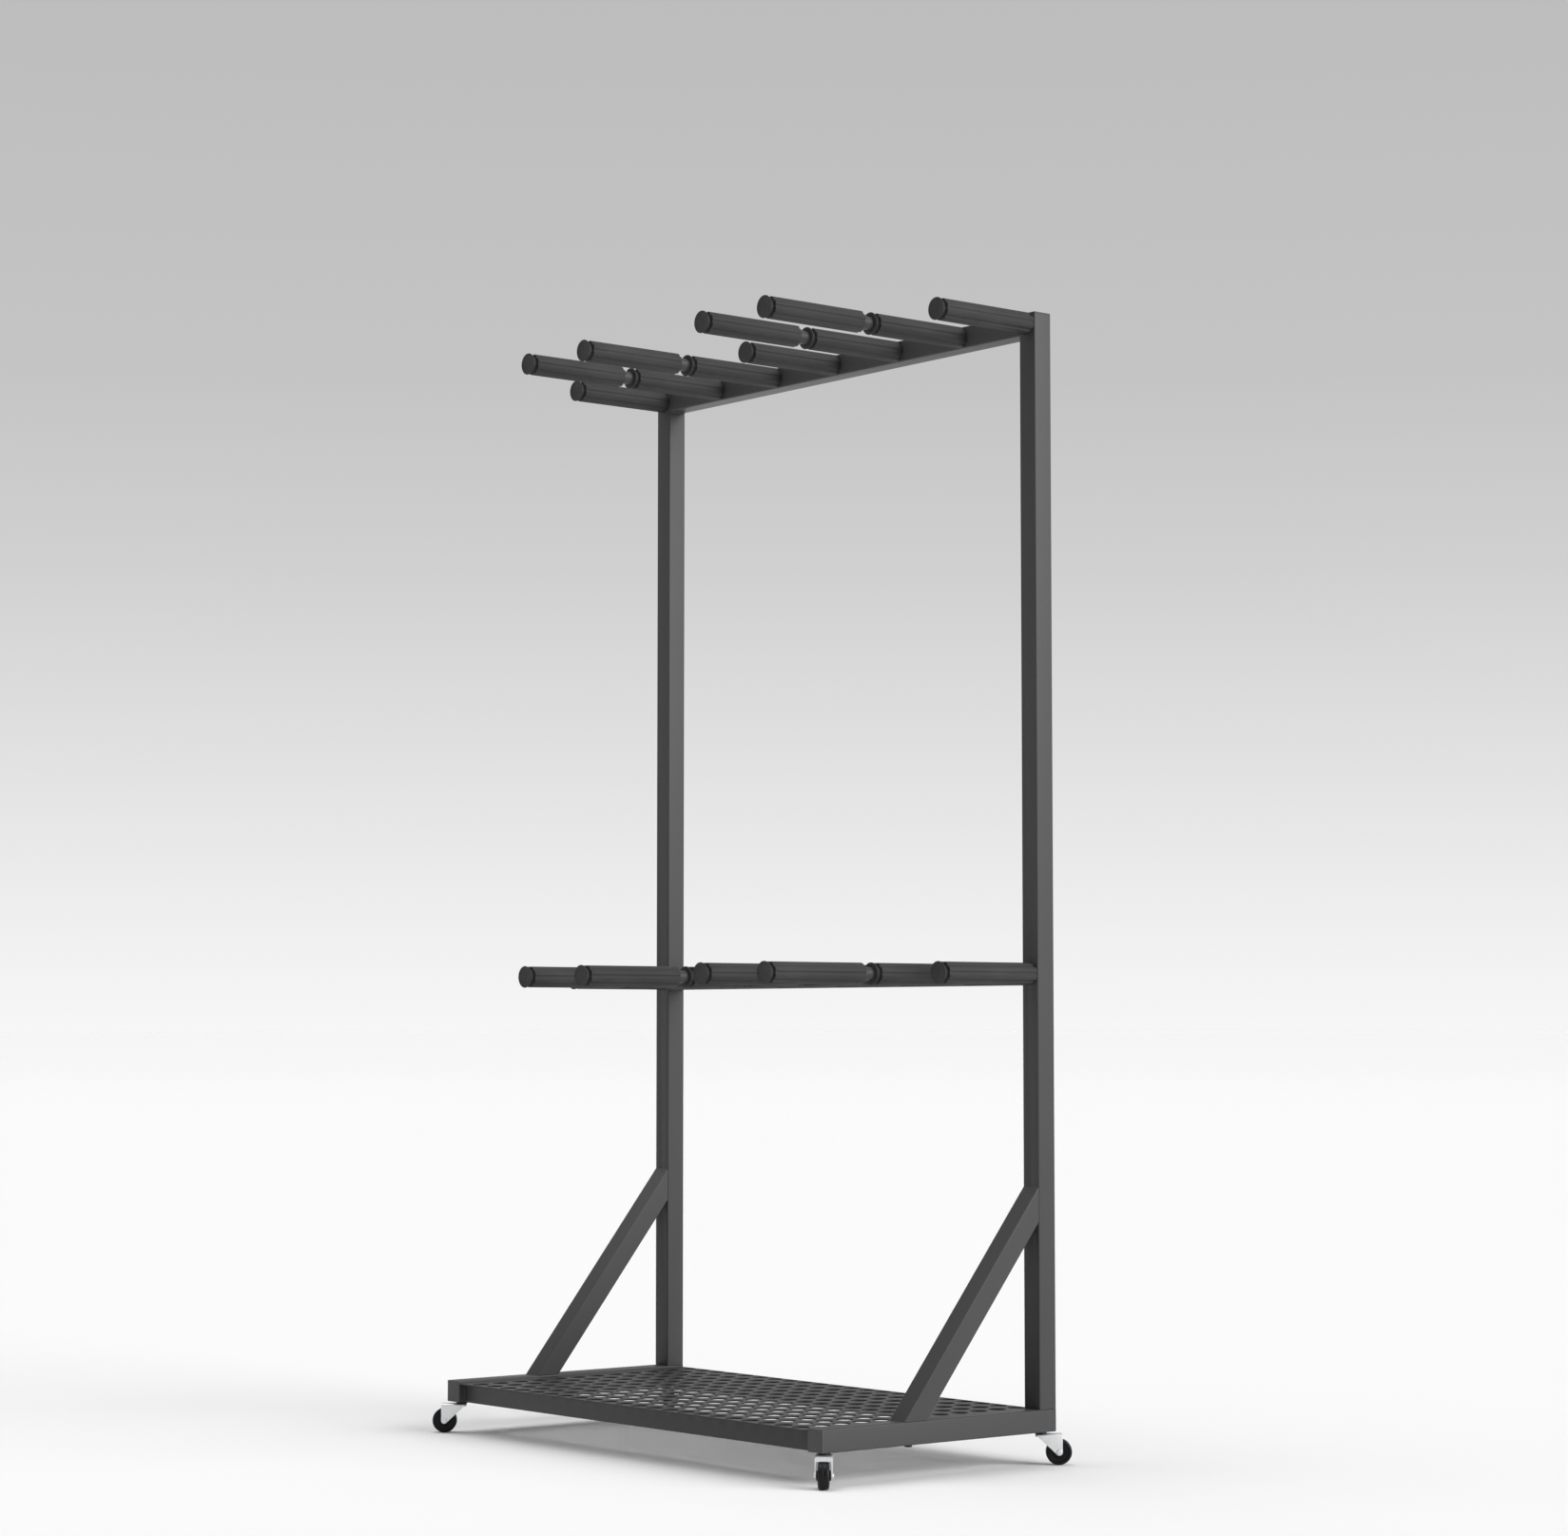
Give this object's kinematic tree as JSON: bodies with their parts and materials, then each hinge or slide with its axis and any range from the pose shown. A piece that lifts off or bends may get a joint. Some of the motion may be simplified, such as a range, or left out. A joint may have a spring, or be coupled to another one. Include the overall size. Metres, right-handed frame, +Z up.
{
  "type": "racket storage cart",
  "caption": "Wheeled rack for hanging rackets: a braced square tube frame with a perforated tray, tiers of forward arms in grooved sleeves, and small swivel casters.",
  "frame": {"origin": "on the floor, below the middle of the frame", "axes": "+Z up, arms point along -Y, +X to the right when facing along +Y"},
  "size_m": [0.7599, 0.3856, 1.3353],
  "materials": {
    "frame_paint": "black powder coat, fine texture, low gloss",
    "tray_paint": "black powder coat on perforated sheet",
    "sleeve_rubber": "matte moulded rubber, grooved along its length",
    "plug_plastic": "matte moulded plastic",
    "black_steel": "black oxide, slightly oily",
    "zinc_plate": "bright zinc plate",
    "wheel_plastic": "hard black wheel, slightly glossy tread"
  },
  "bodies": {
    "frame": {"side_rail_right": "frame_paint", "side_rail_left": "frame_paint", "front_rail": "frame_paint", "rear_rail": "frame_paint", "tray_sheet": "tray_paint", "upright_right": "frame_paint", "upright_left": "frame_paint", "upper_crossbar": "frame_paint", "lower_crossbar": "frame_paint", "brace_right": "frame_paint", "brace_left": "frame_paint", "brace_foot_bolts": "black_steel", "brace_head_bolts": "black_steel", "upright_caps": "plug_plastic", "rail_end_plugs": "plug_plastic", "caster_stems": "zinc_plate", "caster_lock_nuts": "black_steel", "upper_arm_1": "frame_paint", "upper_arm_2": "frame_paint", "upper_arm_3": "frame_paint", "upper_arm_4": "frame_paint", "upper_arm_5": "frame_paint", "upper_arm_6": "frame_paint", "upper_arm_7": "frame_paint", "lower_arm_1": "frame_paint", "lower_arm_2": "frame_paint", "lower_arm_3": "frame_paint", "lower_arm_4": "frame_paint", "lower_arm_5": "frame_paint", "lower_arm_6": "frame_paint", "lower_arm_7": "frame_paint", "upper_sleeve_1": "sleeve_rubber", "upper_sleeve_2": "sleeve_rubber", "upper_sleeve_3": "sleeve_rubber", "upper_sleeve_4": "sleeve_rubber", "upper_sleeve_5": "sleeve_rubber", "upper_sleeve_6": "sleeve_rubber", "upper_sleeve_7": "sleeve_rubber", "lower_sleeve_1": "sleeve_rubber", "lower_sleeve_2": "sleeve_rubber", "lower_sleeve_3": "sleeve_rubber", "lower_sleeve_4": "sleeve_rubber", "lower_sleeve_5": "sleeve_rubber", "lower_sleeve_6": "sleeve_rubber", "lower_sleeve_7": "sleeve_rubber"},
    "front_right_swivel": {"front_right_caster_fork": "zinc_plate", "front_right_caster_axle": "zinc_plate"},
    "front_right_wheel": {"front_right_caster_wheel": "wheel_plastic"},
    "front_left_swivel": {"front_left_caster_fork": "zinc_plate", "front_left_caster_axle": "zinc_plate"},
    "front_left_wheel": {"front_left_caster_wheel": "wheel_plastic"},
    "rear_left_swivel": {"rear_left_caster_fork": "zinc_plate", "rear_left_caster_axle": "zinc_plate"},
    "rear_left_wheel": {"rear_left_caster_wheel": "wheel_plastic"},
    "rear_right_swivel": {"rear_right_caster_fork": "zinc_plate", "rear_right_caster_axle": "zinc_plate"},
    "rear_right_wheel": {"rear_right_caster_wheel": "wheel_plastic"}
  },
  "joints": [
    {"name": "front_right_caster_swivel", "type": "hinge", "parent": "frame", "child": "front_right_swivel", "pos_m": [0.3495, -0.162, 0.03], "axis": [0, 0, 1], "continuous": true},
    {"name": "front_right_wheel_spin", "type": "hinge", "parent": "front_right_swivel", "child": "front_right_wheel", "pos_m": [0.36523, -0.17591, 0.015], "axis": [0.6626, 0.749, 0], "continuous": true},
    {"name": "front_left_caster_swivel", "type": "hinge", "parent": "frame", "child": "front_left_swivel", "pos_m": [-0.3495, -0.162, 0.03], "axis": [0, 0, 1], "continuous": true},
    {"name": "front_left_wheel_spin", "type": "hinge", "parent": "front_left_swivel", "child": "front_left_wheel", "pos_m": [-0.36281, -0.17824, 0.015], "axis": [0.7733, -0.6341, 0], "continuous": true},
    {"name": "rear_left_caster_swivel", "type": "hinge", "parent": "frame", "child": "rear_left_swivel", "pos_m": [-0.3495, 0.162, 0.03], "axis": [0, 0, 1], "continuous": true},
    {"name": "rear_left_wheel_spin", "type": "hinge", "parent": "rear_left_swivel", "child": "rear_left_wheel", "pos_m": [-0.36574, 0.17531, 0.015], "axis": [-0.6341, -0.7733, 0], "continuous": true},
    {"name": "rear_right_caster_swivel", "type": "hinge", "parent": "frame", "child": "rear_right_swivel", "pos_m": [0.3495, 0.162, 0.03], "axis": [0, 0, 1], "continuous": true},
    {"name": "rear_right_wheel_spin", "type": "hinge", "parent": "rear_right_swivel", "child": "rear_right_wheel", "pos_m": [0.36281, 0.17824, 0.015], "axis": [-0.7733, 0.6341, 0], "continuous": true}
  ]
}
